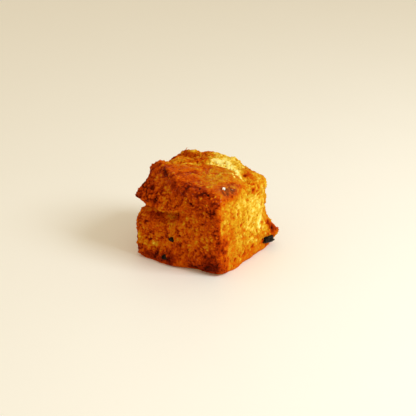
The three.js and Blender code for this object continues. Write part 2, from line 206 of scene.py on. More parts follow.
def square_walk(turn):
    """One coordinate of a walk round a square: clipped triangle wave of period 4."""
    return np.clip(2 * (np.abs(np.mod(turn, 4) - 2) - 1), -1, 1)


def rounded_square(x, y, power):
    """Points of a square moved onto |x|^power + |y|^power = 1."""
    reach = (np.abs(x) ** power + np.abs(y) ** power) ** (1 / power)
    return x / reach, y / reach


def round_the_mouth(bearing, values):
    """Values stated at the mouth's bearings, eased from one to the next."""
    after = np.clip(np.searchsorted(MOUTH_BEARING, bearing), 1, len(MOUTH_BEARING) - 1)
    stops, values = np.array(MOUTH_BEARING), np.array(values, float)
    share = ramp(bearing, stops[after - 1], stops[after])
    return values[after - 1] + (values[after] - values[after - 1]) * share


def past_crack(x, y):
    """How far behind the crack in the top crust a place lies: y less a line that wanders, bends as a
    parabola to the left and drops at the right."""
    wander = CRACK["wander"] * noise(np.stack([x, 0 * x, 0 * x], -1), CRACK["wander size"], CRACK["seed"])
    bend = CRACK["bend"] * np.minimum(x - CRACK["x"], 0) ** 2
    drop = CRACK_DROP["by"] * ramp(x, *CRACK_DROP["x"])
    return y - (CRACK["y"] - bend - drop + wander)


def past_shoulder(x, y):
    """Distance in front of the shoulder, a line that curves back as a power of the way to the left."""
    way = np.clip((SHOULDER["x"] - x) / SHOULDER["run"], 0, 1.1)
    slope = SHOULDER["slope"] * way ** (SHOULDER["power"] - 1)
    line = SHOULDER["y"] + SHOULDER["curve back"] * way ** SHOULDER["power"]
    return (line - y) / np.sqrt(1 + slope * slope)


def crust_height(x, y):
    """Plateau less its basin, a riser past the crack that is gentler at the right, falls at the back
    and the right, all cut by the chamfer over the front, with a bead along the shoulder's left half."""
    basin_x, basin_y = BASIN["reach"]
    basin = BASIN["depth"] * bell(np.hypot((x - BASIN["x"]) / basin_x, (y - BASIN["y"]) / basin_y))
    plateau = PLATEAU["height"] - PLATEAU["fall"] * (x - PLATEAU["x"]) - basin
    run = RISER["run"] + RISER_EASING["longer by"] * ramp(x, *RISER_EASING["x"])
    riser = RISER["height"] * ramp(past_crack(x, y) / run, 0, 1) * ramp(x, *RISER["x"])
    towards_corner = x + BACK_CORNER_FALL["lean"] * y
    corner_fall = BACK_CORNER_FALL["drop"] * ramp(towards_corner, *BACK_CORNER_FALL["way"])
    back_fall = BACK_FALL["drop"] * ramp(y, *BACK_FALL["y"]) + corner_fall
    right_fall = RIGHT_FALL["drop"] * ramp(x, *RIGHT_FALL["x"]) * ramp(y, *RIGHT_FALL["y"])
    before = past_shoulder(x, y)
    steepness = CHAMFER["slope"] + CHAMFER["steepening"] * np.maximum(x - CHAMFER["x"], 0)
    chamfer = CHAMFER["height"] - steepness * before
    bead = BEAD["height"] * bell(before / BEAD["reach"]) * ramp(x, *BEAD["x"])
    return soft_minimum(plateau + riser - back_fall - right_fall, chamfer, CHAMFER["blend"]) + bead


def apron_share(x, z):
    """Share of the front face that is the upper layer's apron, above a wavy, climbing hem."""
    eased = APRON_CLIMB["ease"] * np.maximum(x - APRON_CLIMB["ease from"], 0)
    climb = APRON_CLIMB["height"] + APRON_CLIMB["slope"] * (x - APRON_CLIMB["x"]) - eased
    wave = APRON_WAVE["height"] * np.sin(APRON_WAVE["per millimetre"] * x)
    hem = np.maximum(climb, APRON["hem"] - APRON["hem fall"] * x) + wave
    under, over = APRON_EDGE
    return ramp(z, hem + under, hem + over) * ramp(x, *APRON["left"]) * ramp(x, *APRON["right"])


def scone_form(around, along):
    """Surface of the scone for shares of the way round and places 0 to 4 along its profile.

    A rounded square in plan and profile, with its rows led to the mouth's line, lifted to the crust,
    drawn in at the mouth, pushed by lumps and by two sizes of crag, and flat underneath. Gives the
    points, and how far inside the mouth each lies, from 0 to 1.
    """
    walk = 4 * around - 1.5
    plan_x, plan_y = rounded_square(square_walk(walk), square_walk(walk - 1), PLAN_SQUARENESS)
    square_level = np.clip(along - 2, -1, 1)
    squareness = np.where(square_level < 0, FOOT_SQUARENESS, CROWN_SQUARENESS)
    square_reach = np.clip(np.where(along < 2, along, 4 - along), 0, 1)
    reach, level = rounded_square(square_reach, square_level, squareness)
    bearing = np.degrees(np.arctan2(plan_y * HALF_DEPTH, plan_x * HALF_WIDTH))
    x, y = HALF_WIDTH * reach * plan_x, HALF_DEPTH * reach * plan_y
    z = BLOCK_HEIGHT / 2 * (1 + level)

    side = ramp(reach, 0.6, 0.95)
    mouth = round_the_mouth(bearing, MOUTH_HEIGHT)
    above = z - MOUTH_LEVEL
    span = np.where(above < 0, MOUTH_LEVEL, BLOCK_HEIGHT - MOUTH_LEVEL)
    nearness = np.clip(1 - np.abs(above) / span, 0, 1)
    z = z - MOUTH_GATHER * above * bell(above / MOUTH_GATHER_REACH) * side
    z = z + (mouth - MOUTH_LEVEL) * nearness * side
    lifted = mouth + (z - mouth) * (crust_height(x, y) - mouth) / (BLOCK_HEIGHT - mouth)
    z = np.where(z > mouth, lifted, z)

    front = ramp(x, *FRONT_OF_MOUTH["x"]) * ramp(y, *FRONT_OF_MOUTH["y"])
    lip = LIP_SIDE + (LIP_FRONT - LIP_SIDE) * front
    jaw = JAW_SIDE + (JAW_FRONT - JAW_SIDE) * front
    closing = bell((z - mouth) / np.where(z > mouth, lip, jaw)) * side
    depth = round_the_mouth(bearing, MOUTH_DEPTH)
    kept = 1 - np.clip(depth * closing / np.maximum(np.hypot(x, y), 1e-6), 0, 0.8)
    place = np.stack([x * kept, y * kept, z], -1)
    inside = closing * ramp(depth, 0.5, 4)

    point = place.copy()
    for centre, lump_reach, push in LUMPS.values():
        away = np.linalg.norm((place - centre) / np.array(lump_reach), axis=-1)
        point += bell(away)[..., None] * push
    apron = apron_share(place[..., 0], place[..., 2]) * ramp(place[..., 1], *APRON["y"])
    point[..., 1] -= APRON["proud"] * apron * side
    outward = (place - MIDDLE) / np.linalg.norm(place - MIDDLE, axis=-1, keepdims=True)
    outward[..., 2] *= ramp(place[..., 2], *FLAT_FOOT)
    point += outward * sum(height * noise(place, size, seed) for size, height, seed in CRAGS)[..., None]
    point = point - BASE_CENTRE
    point[..., 2] = np.maximum(point[..., 2], 0)
    return point, inside


# ---- Skin: the form with its fine relief ----------------------------------------------------------

COLUMNS = 440
STRETCHES = [(0, 0.93, 8), (0.93, 3.05, 142), (3.05, 4, 76)]   # from, to and rows along the profile


def grid_normals(point):
    """Outward unit normals of a grid closed round its columns: cross product of its two slopes."""
    round_slope = np.roll(point, -1, axis=1) - np.roll(point, 1, axis=1)
    up_slope = np.gradient(point, axis=0)
    normal = np.cross(round_slope, up_slope)
    normal[0] = (0, 0, -1)
    normal[-1] = (0, 0, 1)
    return normal / np.maximum(np.linalg.norm(normal, axis=-1, keepdims=True), 1e-9)


def band_width(x):
    """Width of the torn band behind the crack: a thread at the left, widest in the middle."""
    return 0.7 * ramp(x, -16, -11) + 4.6 * ramp(x, -4, 1) - 3 * ramp(x, 7, 15)


# The grey in this patch's colour is painted sheen; its deeper browning and pits are the crust's own.
SCORCH = {"centre": (23.2, -13.5, 45), "reach": (5, 9.5, 4)}   # pitted, ashen patch of the rim


def skin_zones(point, normal, inside):
    """Shares from 0 to 1 of the kinds of surface, by place and by the way each spot faces."""
    x, y, z = np.moveaxis(point, -1, 0)
    nx, ny, nz = np.moveaxis(normal, -1, 0)
    ragged = noise(point, 3.4, 41) + 0.6 * noise(point, 1.6, 42)
    behind = past_crack(x + BASE_CENTRE[0], y + BASE_CENTRE[1])
    width = band_width(x)
    up = ramp(nz, 0.35, 0.7) * ramp(z, 38, 42)
    on_top = ramp(z, 41, 44)
    beyond = behind + 0.9 * ragged - width
    past_edge = ramp(behind + 0.8 * ragged, -0.2, 0.4)
    zones = {
        "front": ramp(-ny, 0.3, 0.75) * (1 - up),
        "right": ramp(nx, 0.3, 0.75) * (1 - up),
        "left": ramp(-nx, 0.3, 0.75) * (1 - up),
        "back": ramp(ny, 0.3, 0.75) * (1 - up),
        "up": up,
        "plateau": on_top * ramp(behind + 0.8 * ragged, 0.2, -0.4),
        "band": on_top * past_edge * ramp(beyond, 1, -1) * ramp(x, -15, -11) * ramp(x, 27, 20),
        "ridge": on_top * ramp(beyond, -0.8, 1) * ramp(behind, 0, 2),
        "chamfer": ramp(past_shoulder(x, y) + 1.2 * ragged, -1, 2) * ramp(z, 31, 34) * ramp(-ny, 0.05, 0.35),
        "inside": inside,
        "foot": ramp(z + 1.5 * ragged, 7, 1),
        "under": ramp(-nz, 0.3, 0.8) * ramp(z, 2, 1),
    }
    scorch = bell(np.linalg.norm((point - SCORCH["centre"]) / np.array(SCORCH["reach"]), axis=-1))
    zones["scorched"] = scorch * ramp(scorch + 0.25 * ragged, 0.15, 0.6) * (1 - zones["front"])
    golden_ridge = zones["ridge"] * ramp(x + 2 * ragged, -3, 2)
    start = -5.5 * ramp(x, -13, -5)
    zones["shoulder"] = zones["plateau"] * ramp(past_shoulder(x, y) + 0.6 * ragged, start - 1, start + 1.5)
    edge = -26.2 + ramp(z, 34, 42)
    before_edge = ramp(y + 0.3 * ragged, edge + 0.8, edge - 0.6)
    zones["corner"] = ramp(x + 0.6 * ragged, 8, 21) * before_edge * ramp(z, 47, 44)
    zones["torn"] = np.maximum.reduce([
        zones["right"] * ramp(y + 0.5 * ragged, edge - 0.8, edge + 1) * ramp(z + 2 * ragged, 46, 39),
        0.9 * zones["back"], zones["band"], 0.8 * golden_ridge, 0.5 * zones["inside"],
    ]) * (1 - 0.8 * zones["scorched"])
    return zones


def creases(place, size, seed):
    """Rounded lumps parted by sharp creases: the size of smooth noise, 0 in a crease."""
    return np.abs(noise(place, size, seed))


def fibres(place, seed):
    """Short torn strands that climb or fall at a slant: noise stretched along one diagonal."""
    x, y, z = np.moveaxis(place, -1, 0)
    slant = np.stack([x, (y - z) / 3.2, y + z], -1)
    return noise(slant, 1.7, seed)


def skin_relief(point, zones):
    """Height of the fine relief: crumbs and strands where torn, lumps and creases where browned."""
    torn = zones["torn"]
    warped = point + 0.9 * np.stack([noise(point, 3, seed) for seed in (51, 52, 53)], -1)
    browned = 0.8 * (creases(warped, 2.4, 21) - 0.3) + 0.75 * (creases(warped, 1.4, 22) - 0.3)
    browned = browned + 0.45 * noise(point, 5, 29) + 0.14 * noise(point, 0.9, 23)
    near = cells(warped, 2.1, 11)
    small_near = cells(warped, 1.3, 12)
    crumbs = 0.9 * (0.55 - near) + 0.5 * (0.55 - small_near) + 0.2 * fibres(point, 24)
    pits = -0.6 * ramp(small_near, 0.3, 0.12) * ramp(noise(point, 4.5, 25), 0.2, 0.5)
    smooth_crust = 0.6 * noise(point, 4, 26) + 0.5 * (creases(warped, 2.2, 27) - 0.3)
    smooth_crust = smooth_crust + 0.45 * (creases(warped, 1.2, 28) - 0.3) + 0.14 * noise(point, 0.8, 35)
    glazed = 0.8 * zones["plateau"] * (1 - zones["chamfer"]) * (1 - 0.7 * zones["shoulder"])
    glazed = glazed * (1 - 0.7 * zones["scorched"])
    height = browned + pits
    height = height + (crumbs - height) * torn
    height = height + (smooth_crust - height) * glazed * (1 - torn)
    height = height - 0.6 * sum(near_patches(point, PITS).values())
    return height * (1 - 0.9 * zones["under"]) * (0.25 + 0.75 * ramp(point[..., 2], 0.2, 2.5))


TOASTED = {   # centre, reach along each axis, browning added
    # lobes
    "first lobe": ((-24, -13.5, 46.5), (5, 5, 4), 0.2),
    "under the first lobe": ((-18.5, -19.5, 44), (4, 4, 2.5), -0.14),
    "second lobe": ((-24.6, 3.8, 48), (2.5, 2, 2), 0.16),
    "third lobe": ((-17, 13.5, 50.8), (5, 2.5, 1.5), -0.2),
    # painted shade: darker under the overhanging third lobe
    "under the third lobe": ((-20, 11.5, 48.8), (4, 1.5, 1), 0.16),
    "back corner lobe": ((23, 15, 44), (2, 3, 2), -0.08),
    # painted highlight: a pale spot that stands in for a glint on the glaze
    "bright fleck on the lobe": ((-20.4, -11.8, 48.9), (0.8, 0.8, 0.8), -0.35),
    "top of the first lobe": ((-24.5, -12.2, 47.8), (3, 3, 2), 0.1),
    # top crust
    "plateau, left": ((-4, -13, 48.4), (4, 4, 2), 0.1),
    "plateau, right": ((15, 0, 47.8), (4, 3, 2), -0.06),
    "plateau, front left": ((2, -15, 48), (4, 3.5, 2), 0.08),
    "plateau, middle": ((1.5, -4, 48), (4, 3, 1.5), -0.1),
    "plateau, back left": ((-9, -5, 48.8), (4, 3.5, 1.5), -0.08),
    "plateau, towards the sugar": ((7.5, -4, 47.5), (4, 3, 1.5), -0.08),
    # painted highlight: a pale spot that stands in for a glint on the glaze
    "fleck on the plateau": ((15.2, -20.3, 47.1), (0.9, 0.9, 0.8), -0.3),
    "front of the plateau": ((6, -22, 47.3), (5, 3, 2), 0.1),
    "behind the bead": ((-15, -1, 49), (4, 4, 3), -0.08),
    "rim patch": ((22, 8.5, 46.2), (2.6, 3.2, 2), 0.3),
    "behind the shoulder": ((0, -17.5, 48.2), (5, 3, 2), 0.1),
    "patch on the edge": ((24.8, -3.5, 44), (2.2, 3, 1.8), 0.16),
    # round the sugar
    "under the sugar": ((22.6, -16.8, 46), (1.7, 1.7, 1.5), 0.22),
    "patch by the sugar": ((24.9, -14, 44.6), (2.6, 3.2, 2), 0.1),
    "patch below the sugar": ((25.6, -18, 43.8), (2.4, 4, 2), 0.16),
    "left of the sugar": ((19.5, -15, 46.8), (3, 3, 2), 0.14),
    "before the sugar": ((20.3, -22, 46.4), (2.6, 3, 2), 0.14),
    "behind the sugar": ((23.5, -9.5, 45.6), (1.8, 1.8, 1.6), -0.12),
    # crack, band and ridge
    "ridge spot": ((-10.5, 13, 50), (1.6, 1.6, 1.6), 0.14),
    "second ridge spot": ((-13.7, 11.7, 48.5), (1.6, 1.6, 1.6), 0.12),
    "ridge, right": ((12, 9, 50.6), (4, 2.5, 2), -0.1),
    "end of the band": ((19.8, 4.8, 48), (3, 2.5, 1.5), -0.1),
    # painted highlights: two pale spots that stand in for glints on the glaze
    "fleck by the crack": ((16.6, 0.7, 47.9), (0.7, 0.6, 0.6), -0.45),
    "second fleck by the crack": ((18.7, -1.1, 47.2), (0.7, 0.7, 0.6), -0.45),
    "ridge top": ((-5, 14, 51), (4, 3, 2), -0.14),
    "start of the band": ((-3.2, 4.1, 49.5), (2, 2, 1.5), 0.2),
    "palest of the band": ((1.5, 6.9, 50.3), (3, 2, 1.5), -0.15),
    "before the band, right": ((14.5, 2.5, 48.3), (2, 1.5, 1.5), 0.14),
    "band, right": ((13, 6, 49), (2.5, 2, 1.5), -0.12),
    "before the band, left": ((-2, 0.5, 49), (6, 3, 1.5), -0.1),
    "rim, back": ((18, 14.5, 46.5), (3, 3, 2), 0.12),
    "by the crack": ((9.5, 1, 48.4), (2.5, 1.5, 1.5), 0.12),
    "band, far right": ((21.5, 3, 46.8), (1.5, 1.5, 1.5), -0.12),
    "middle of the band": ((4.5, 9, 50.5), (2, 2, 1.5), -0.1),
    # apron, bead and shoulder
    "lip, left": ((-20, -27.5, 36.5), (3.5, 4, 3), -0.14),
    "lip tip": ((-25.5, -26, 36.6), (2.5, 3, 2.5), 0.06),
    "bead, right": ((2, -25.5, 45.8), (7, 3.5, 3), 0.08),
    "shoulder": ((16, -26.5, 45), (7, 4, 4), 0.14),
    "apron streak": ((-7, -27.5, 40), (3, 4, 4), -0.28),
    "low streak of the apron": ((-1, -29.5, 36), (5, 3, 3), -0.1),
    "hem over the mouth": ((-7, -29.5, 33.4), (9, 3, 1.5), -0.16),
    "right of the apron": ((6.5, -29, 39), (4, 3, 3), -0.12),
    # painted highlights: two pale spots that stand in for glints on the bead
    "bright fleck on the bead": ((-2.3, -23.2, 48.7), (0.8, 1.2, 0.8), -0.3),
    "second fleck on the bead": ((-5, -21, 48.6), (0.6, 1, 0.8), -0.25),
    # painted highlights: pale spots that stand in for glints on the apron and the corner
    "fleck on the apron": ((17.4, -29.1, 43.6), (0.8, 0.8, 0.7), -0.3),
    "fleck on the corner": ((23.5, -25.2, 44.8), (0.8, 0.8, 0.7), -0.3),
    "apron, upper left": ((-14, -21, 44.5), (5, 4, 3), -0.08),
    "under the shoulder": ((14.5, -27.5, 44.5), (3, 3, 3), 0.2),
    "left of the streak": ((-13.8, -26.1, 41), (2.5, 3, 3), 0.12),
    # browned face below the apron
    # partly browning, partly painted shade in the recess of the mouth under the lip
    "middle of the mouth": ((-1, -25, 29), (6, 4, 1.6), 0.22),
    "below the mouth": ((-15, -26, 25), (7, 4, 2.4), 0.12),
    "front, middle": ((-4, -28, 23), (5, 3, 3.5), -0.05),
    "front, right": ((7.3, -27.5, 27.8), (3, 3, 3), -0.2),
    "front, low left": ((-13.5, -29, 9.5), (6, 3, 4), -0.18),
    "front, low middle": ((-4.5, -28.8, 8), (2.5, 3, 5), 0.14),
    "front, lower right": ((9, -28.5, 14), (5, 3, 4), 0.04),
    "front, low right": ((10.5, -28.5, 7), (4, 4, 3), 0.14),
    "beside the corner": ((16.5, -28, 19), (3.5, 3, 8), -0.22),
    "foot of the front": ((3, -29, 6), (16, 4, 5), 0.08),
    "left foot": ((-19, -29, 3), (8, 4, 3.2), 0.17),
    "by the lower currant": ((-3.2, -30, 3.5), (2.6, 3, 3.5), 0.24),
    "end of the mouth": ((4, -27, 31.5), (4, 3, 1.6), 0.16),
    "foot, middle": ((5, -29.5, 3), (3, 3, 2.5), -0.1),
    "front, upper right": ((15, -28, 25), (2, 3, 4), -0.1),
    "foot, right of the middle": ((10.5, -28, 3), (2.3, 3, 3), 0.16),
    "left corner, low": ((-26, -27.5, 9), (2.5, 3, 3), -0.12),
    "left edge": ((-27, -27, 15), (2, 3, 6), 0.1),
    "left end of the jaw": ((-23, -28, 28.5), (4, 4, 3), -0.1),
    "left of the lower currant": ((-10, -29.5, 3), (2, 3, 2), 0.14),
    "right of the mouth": ((15, -28.5, 32), (2, 2, 1.6), 0.14),
    "front, right of the middle": ((12.5, -28.5, 20), (1.5, 2, 7), 0.08),
    "by the upper currant": ((-5, -28.5, 14), (2, 2, 2), 0.08),
    "front, low centre": ((3.4, -28, 12), (3, 3, 3), 0.08),
    # front corner
    "corner, low": ((21.4, -28.5, 11.4), (2.5, 3, 3), 0.16),
    "corner, high": ((19.5, -28, 36), (3, 3, 3.5), -0.18),
    "foot of the corner": ((20, -28, 6), (6, 5, 5), 0.16),
    "red patch on the corner": ((27.2, -24, 16.5), (2, 2, 3), 0.24),
    "corner, top": ((23.4, -27.8, 41), (1.6, 2, 2.5), 0.2),
    "corner, middle": ((26, -27.6, 32), (1.5, 2, 3), 0.16),
    "front, far right": ((21, -28, 18), (4, 3, 5), -0.08),
    "left of the corner": ((23.5, -27.5, 22), (2, 2, 4), -0.1),
    "foot of the corner, right": ((26.5, -26.5, 6), (2.5, 2.5, 3), 0.1),
    "corner, right edge": ((27, -23.5, 24), (1.6, 2, 5), 0.1),
    "edge, upper": ((27, -23, 41), (1.5, 1.8, 2.5), -0.12),
    # golden face
    "spot under the rim": ((27.7, 5.6, 39.5), (1.5, 1.8, 1.5), 0.44),
    "second spot under the rim": ((27.2, 11.3, 39.3), (1.4, 1.6, 2.2), 0.1),
    "right face, lower front": ((27.4, -16, 16), (2, 3, 3.5), 0.04),
    "right face, low": ((27.4, -21, 18), (2, 3, 3), 0.08),
    "right face, orange": ((27.4, -3.5, 29), (2, 3, 3.5), 0.14),
    "right face, lower orange": ((27.8, -7, 19), (2, 3, 2.5), 0.08),
    "pale streak, top": ((27.2, -11, 34.5), (3, 3, 4), -0.12),
    "pale streak, right": ((27.5, 6, 24), (2, 3, 7), -0.08),
    "pale streak, low": ((27.4, 12, 16.2), (2, 3.2, 4.2), -0.28),
    "pale streak, foot": ((27.9, 4.5, 10), (2, 4, 5), -0.14),
    "far lip": ((28.6, 25.5, 10.2), (4, 3, 2.6), 0.36),
    "above the far lip": ((27, 24, 14), (3, 3, 3), 0.14),
    "pale streak, upper": ((27.3, -3.5, 35), (1.2, 1.2, 3), -0.1),
    "low streak": ((27.6, -9.5, 15), (2, 1.5, 3), -0.14),
    "right face, upper orange": ((27.4, 0, 32.5), (1.8, 1.8, 1.8), 0.14),
    "right face, front": ((27.4, -17, 21), (2, 5, 5), 0.1),
    "right face, low middle": ((27.5, -19, 12), (1.6, 2, 4), -0.04),
    "below the pale streak": ((27.7, 10, 13), (1.5, 1.5, 1.5), 0.12),
    "right face, by the corner": ((26.9, -21.5, 11), (1.5, 1.5, 4), -0.08),
    "fleck on the right face": ((27.4, 11.8, 17.5), (1.5, 1.2, 2), -0.16),
    "right face, middle": ((27.7, 1, 25.6), (1.5, 1.5, 1.5), 0.1),
    "right face, below the middle": ((28, -5.6, 18.4), (1.5, 1.4, 1.4), 0.12),
    "crease above the far lip": ((25.6, 23.8, 13.2), (1.8, 1.8, 2), 0.2),
    "under the far lip": ((28.3, 26.5, 8), (1.6, 1.8, 1.4), 0.14),
}
# Dents in the relief; skin_browning also browns them deeper, as painted shade in the dents.
PITS = {   # centre, reach along each axis
    "apron, upper": ((-4.6, -28, 40.6), (0.9, 1.5, 0.8)),
    "apron, middle": ((-9.6, -29.7, 35.7), (0.8, 1.5, 0.7)),
    "apron, left": ((-13.4, -28.6, 36.2), (0.9, 1.5, 0.9)),
    "end of the mouth": ((-14, -29, 31.6), (1.5, 2, 1.6)),
    "shoulder": ((19.5, -27.2, 45.4), (0.9, 1.2, 0.7)),
    "crease": ((10.8, -28.7, 39.3), (2, 1.5, 0.8)),
    "corner, lower": ((16.5, -27.8, 29), (0.9, 1.5, 0.8)),
    "jaw": ((-19.9, -28, 21.9), (1.4, 1.5, 0.8)),
    "front, left": ((-16, -28.4, 15.5), (1.2, 1.5, 0.7)),
    "front, low left": ((-17.8, -28, 11.7), (0.8, 1.5, 0.6)),
    "front, middle": ((2.4, -28, 18), (1, 1.5, 0.6)),
    "front, low right": ((12.4, -28.5, 12.6), (0.8, 1.5, 0.8)),
    "right face, upper": ((27.8, -9.8, 30.4), (1.5, 0.8, 0.8)),
    "right face, lower": ((28, 4, 19.4), (1.5, 0.8, 0.8)),
}


def near_patches(point, patches):
    """Share of each patch at each point: bell of the distance in reaches, from points led astray a
    little by noise."""
    point = point + 0.9 * np.stack([noise(point, 2.2, seed) for seed in (71, 72, 73)], -1)
    return {name: bell(np.linalg.norm((point - patch[0]) / np.array(patch[1]), axis=-1))
            for name, patch in patches.items()}


def skin_browning(point, zones):
    """Browning from 0, pale crumb, to 1, nearly burnt: a tone for each zone, then its patches, among them
    painted glints and painted shade in the mouth's recess, under a lobe and in the pits.
    """
    x, y, z = np.moveaxis(point, -1, 0)
    right_tone = 0.34 - 0.11 * ramp(y, -12, -3) * ramp(z, 8, 18) * ramp(z, 44, 34)
    right_tone = right_tone + 0.12 * ramp(y, 14, 24) * ramp(z, 14, 20) * ramp(z, 40, 34)
    right_tone = right_tone + 0.08 * ramp(z, 20, 8) + 0.16 * ramp(z, 36, 44) * ramp(y, -2, -12)
    right_tone = right_tone + 0.12 * ramp(y, -17, -23) * ramp(z, 26, 18) + 0.04 * ramp(z, 8, 2)
    plateau_tone = 0.49 + 0.06 * ramp(x, -6, -20) - 0.1 * ramp(x, -2, 10)
    tones = {"front": 0.5, "right": right_tone, "left": 0.54, "back": 0.34, "up": plateau_tone}
    total = sum(zones[name] for name in tones) + 1e-6
    browning = sum(zones[name] * tone for name, tone in tones.items()) / total
    ridge_tone = 0.46 - 0.28 * ramp(x, -8, 0) + 0.14 * ramp(x, 13, 20)
    band_tone = 0.04 + 0.18 * ramp(x, 2, -4)
    settled = {"shoulder": 0.58, "chamfer": 0.66, "ridge": ridge_tone, "band": band_tone,
               "inside": 0.44, "corner": 0.62, "scorched": 0.59}
    for name, tone in settled.items():
        browning = browning + (tone - browning) * zones[name] * 0.9
    browning = browning + 0.12 * zones["foot"] * zones["front"] * ramp(z, 0, 3)
    for name, share in near_patches(point, TOASTED).items():
        browning = browning + TOASTED[name][2] * share
    # painted shade: the pits' dents browned deeper
    browning = browning + 0.2 * sum(near_patches(point, PITS).values())
    patches = 0.07 * noise(point, 6, 31) + 0.05 * noise(point, 2.6, 32)
    # painted highlights: pale spots over the shoulder that stand in for glints on the glaze
    flecks = -0.2 * ramp(noise(point, 1.1, 33), 0.35, 0.6) * zones["shoulder"]
    scorching = 0.22 * ramp(noise(point, 1.2, 36), 0.05, 0.5) - 0.2 * ramp(noise(point, 1, 37), 0.3, 0.6)
    spot_near = cells(point, 5.5, 13) + 0.12 * noise(point, 1.2, 34)
    spots = 0.2 * ramp(spot_near, 0.3, 0.08) * zones["torn"] * (1 - zones["band"])
    pale = -0.1 * ramp(noise(point, 2, 38), 0.2, 0.55) * zones["torn"] * zones["right"]
    strands = pale - 0.04 * ramp(fibres(point, 24), 0.15, 0.7) * zones["torn"]
    kept = 1 - 0.6 * zones["band"] - 0.4 * zones["right"]
    browning = browning + (patches + strands) * kept + spots + flecks
    return np.clip(browning + scorching * zones["scorched"], 0, 1)


def close_poles(point, *layers):
    """Vertices of a grid whose first and last rows are single points, with layers to match."""
    return [np.concatenate([layer[:1, 0], layer[1:-1].reshape(-1, *layer.shape[2:]), layer[-1:, 0]])
            for layer in (point, *layers)]


def closed_faces(rows, columns):
    """Faces of a grid closed round its columns: its quads, and the triangles round its poles."""
    turn = np.arange(columns)
    after = (turn + 1) % columns
    start = 1 + columns * np.arange(rows - 3)[:, None]
    quads = np.stack([start + turn, start + after, start + after + columns, start + turn + columns], -1)
    last = 1 + (rows - 3) * columns
    bottom = np.stack([0 * turn, 1 + after, 1 + turn], -1)
    top = np.stack([0 * turn + last + columns, last + turn, last + after], -1)
    return quads.reshape(-1, 4), np.concatenate([bottom, top])


def repeated(faces, corners, count):
    """Faces of count copies of a mesh with this many corners, one after the other."""
    starts = corners * np.arange(count)[:, None, None]
    return tuple((group + starts).reshape(-1, group.shape[-1]) for group in faces)


def mesh_piece(name, material, points, faces, layers=None, smooth=True):
    """Object at the origin with the mesh of these points, in millimetres, and its named layers."""
    mesh = bpy.data.meshes.new(name)
    corners = [face for group in faces for face in group.tolist()]
    mesh.from_pydata((points * MILLIMETRE).tolist(), [], corners)
    for label, values in (layers or {}).items():
        layer = mesh.attributes.new(label, "FLOAT", "POINT")
        layer.data.foreach_set("value", np.ascontiguousarray(values, np.float32))
    mesh.polygons.foreach_set("use_smooth", np.full(len(mesh.polygons), smooth))
    mesh.materials.append(material)
    mesh.update()
    piece = bpy.data.objects.new(name, mesh)
    bpy.context.scene.collection.objects.link(piece)
    return piece


LAYERS = ["browning", "torn", "glaze", "height", "sheen_grey"]   # what the materials read from the mesh


def scone_skin():
    """The form moved along its normals by its relief: points, faces, layers for the materials, normals,
    and how readily crumbs of torn dough, crumbs of browned dough and flakes come loose at each point."""
    along = np.concatenate([np.linspace(a, b, rows, endpoint=False) for a, b, rows in STRETCHES] + [[4]])
    around = np.arange(COLUMNS) / COLUMNS
    form, inside = scone_form(*np.meshgrid(around, along))
    normal = grid_normals(form)
    zones = skin_zones(form, normal, inside)
    height = skin_relief(form, zones)
    point = form + normal * height[..., None]
    point[..., 2] = np.maximum(point[..., 2], 0)
    torn = zones["torn"]
    glaze = zones["plateau"] * (1 - 0.4 * zones["shoulder"]) + 0.25 * zones["front"] + 0.2 * zones["ridge"]
    area = np.linalg.norm(np.cross(np.roll(form, -1, axis=1) - form, np.gradient(form, axis=0)), axis=-1)
    area = area * (1 - zones["under"]) * ramp(point[..., 2], 0.5, 1.5)
    ridged = torn * (zones["ridge"] + 0.7 * zones["band"])
    flaky = zones["chamfer"] + zones["ridge"] + zones["band"] + 0.2 * zones["front"]
    flat = close_poles(
        point, skin_browning(form, zones), torn, np.clip(glaze, 0, 1) * (1 - torn), height, zones["scorched"],
        grid_normals(point),
        area * torn, area * (1 - torn) * (1 - 0.9 * zones["plateau"]), area * ridged, area * flaky)
    names = ["points", *LAYERS, "normals", "torn crumbs", "baked crumbs", "ridge crumbs", "flakes"]
    skin = dict(zip(names, flat))
    skin["layers"] = {name: skin[name] for name in LAYERS}
    skin["faces"] = closed_faces(len(along), COLUMNS)
    return skin


# ---- Currants, sugar, crumbs and flakes ------------------------------------------------------------

CURRANTS = {   # centre, half sizes, tilt about X, seed of its wrinkles
    "currant_right": ((27.6, 20.9, 5), (2.2, 4.8, 2.3), -0.22, 5),
    "currant_front_upper": ((-3.0, -28.3, 15.4), (1.4, 1.2, 1.1), 0.3, 6),
    "currant_front_lower": ((-7.0, -29.5, 4.2), (1.6, 1.4, 1.4), -0.2, 7),
}
SUGAR_GRAIN = {"at": (22.6, -16.8, 46.2), "size": (1.5, 1.3, 2.2), "turn": (0.4, 0.3, 0.6)}
CRUMBS = {   # where they come loose, how many, smallest and largest half size, seed
    "torn_crumbs": ("torn crumbs", 1300, 0.25, 0.9, 61),
    "ridge_crumbs": ("ridge crumbs", 90, 0.6, 1.5, 64),
    "baked_crumbs": ("baked crumbs", 1300, 0.25, 0.8, 62),
}
FLAKE_COUNT, FLAKE_SEED = 90, 63
FLAKE_HALF_THICKNESS = 0.16
CURRANT_GRID, SUGAR_GRID = (48, 33), (32, 17)     # columns and rows of their balls
CRUMB_GRID, FLAKE_GRID = (7, 6), (10, 7)


def ball_grid(columns, rows):
    """Unit ball as a grid: rings of points from the bottom pole to the top one."""
    rises = np.linspace(-np.pi / 2, np.pi / 2, rows)
    turn, rise = np.meshgrid(2 * np.pi * np.arange(columns) / columns, rises)
    return np.stack([np.cos(rise) * np.cos(turn), np.cos(rise) * np.sin(turn), np.sin(rise)], -1)


def ball_faces(grid):
    """Faces of a ball with these columns and rows, once its poles are closed."""
    columns, rows = grid
    return closed_faces(rows, columns)


